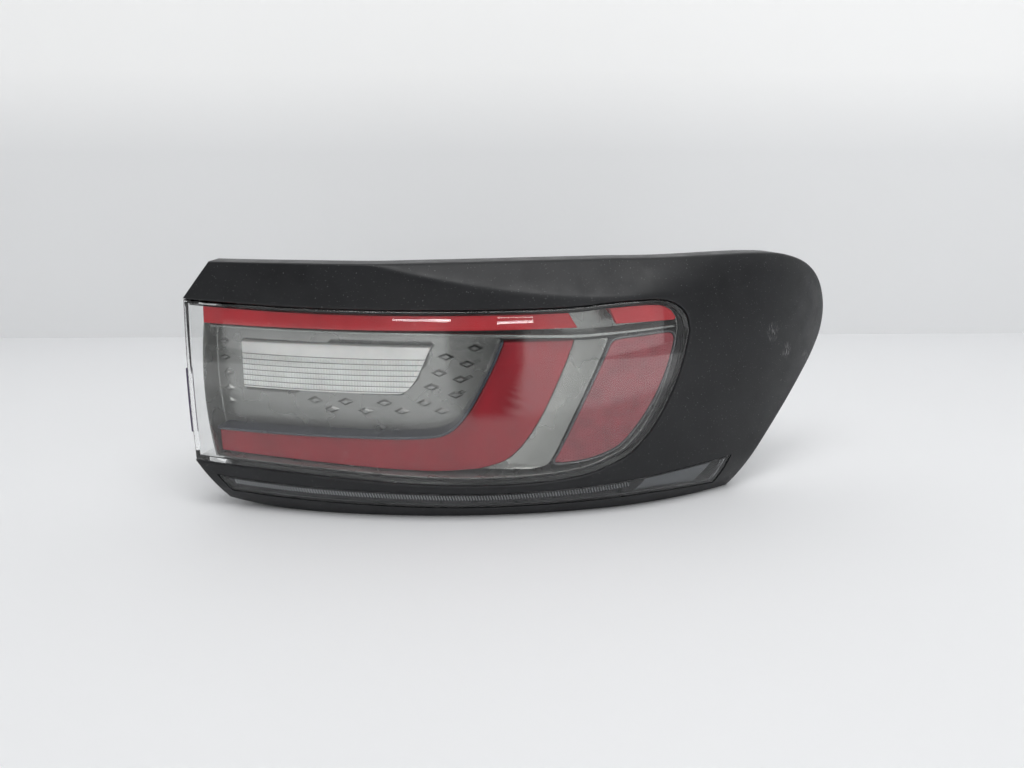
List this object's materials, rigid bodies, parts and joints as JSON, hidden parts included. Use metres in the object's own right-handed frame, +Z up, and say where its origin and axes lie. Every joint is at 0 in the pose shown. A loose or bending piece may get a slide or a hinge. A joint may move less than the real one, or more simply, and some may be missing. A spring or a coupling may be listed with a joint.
{
  "type": "tail light cluster",
  "caption": "Right rear car lamp that wraps round the body corner: black cover panel, tinted lens over a red hook light guide and white reversing optic, lower light strip.",
  "frame": {"origin": "centre of the bounding box in plan, on the plane of the lower standing edge", "axes": "+X from the tailgate end to the side nose, +Y into the car along the fixing studs, +Z up"},
  "size_m": [0.5218, 0.159, 0.196],
  "materials": {
    "cover_black": "satin",
    "lens_clear": "gloss",
    "seal_black": "matte",
    "housing_black": "matte",
    "bezel_grey": "gloss",
    "guide_red": "gloss",
    "trim_dark": "gloss",
    "bezel_smoke": "gloss",
    "reflex_red": "gloss",
    "optic_white": "gloss",
    "reflector_silver": "polished",
    "board_green": "matte",
    "led_yellow": "gloss",
    "strip_smoke": "gloss",
    "strip_guide_clear": "gloss",
    "carrier_black": "matte",
    "sink_aluminium": "cast",
    "module_black": "matte",
    "socket_black": "matte",
    "contact_brass": "plated",
    "foam_black": "matte",
    "end_seal_dark": "matte",
    "bracket_black": "matte",
    "zinc_steel": "zinc plated"
  },
  "bodies": {
    "root": {"cover_panel": "cover_black", "outer_lens": "lens_clear", "lens_seal": "seal_black", "housing": "housing_black", "inner_bezel": "bezel_grey", "upper_light_guide": "guide_red", "hook_light_guide": "guide_red", "end_light_guide": "guide_red", "hook_trim": "trim_dark", "divider_trim": "trim_dark", "side_bezel": "bezel_smoke", "reflex_reflector": "reflex_red", "reflex_frame": "trim_dark", "reverse_optic": "optic_white", "reverse_reflector": "reflector_silver", "reverse_led_board": "board_green", "reverse_leds": "led_yellow", "tail_led_board": "board_green", "upper_led_board": "board_green", "side_led_board": "board_green", "tail_leds": "led_yellow", "strip_lens": "strip_smoke", "strip_light_guide": "strip_guide_clear", "strip_reflector": "bezel_smoke", "strip_carrier": "carrier_black", "strip_led_board": "board_green", "heat_sink": "sink_aluminium", "control_module": "module_black", "connector_socket": "socket_black", "connector_pins": "contact_brass", "vent_caps": "housing_black", "rear_gasket": "foam_black", "end_seal_strip": "end_seal_dark", "nose_bracket": "bracket_black", "locating_pin": "zinc_steel", "foot_bracket": "bracket_black", "fixing_stud_inner": "zinc_steel", "fixing_stud_outer": "zinc_steel", "cover_screws": "zinc_steel", "board_screws": "zinc_steel", "module_screws": "zinc_steel", "sink_screws": "zinc_steel", "foot_screws": "zinc_steel"}
  },
  "joints": []
}
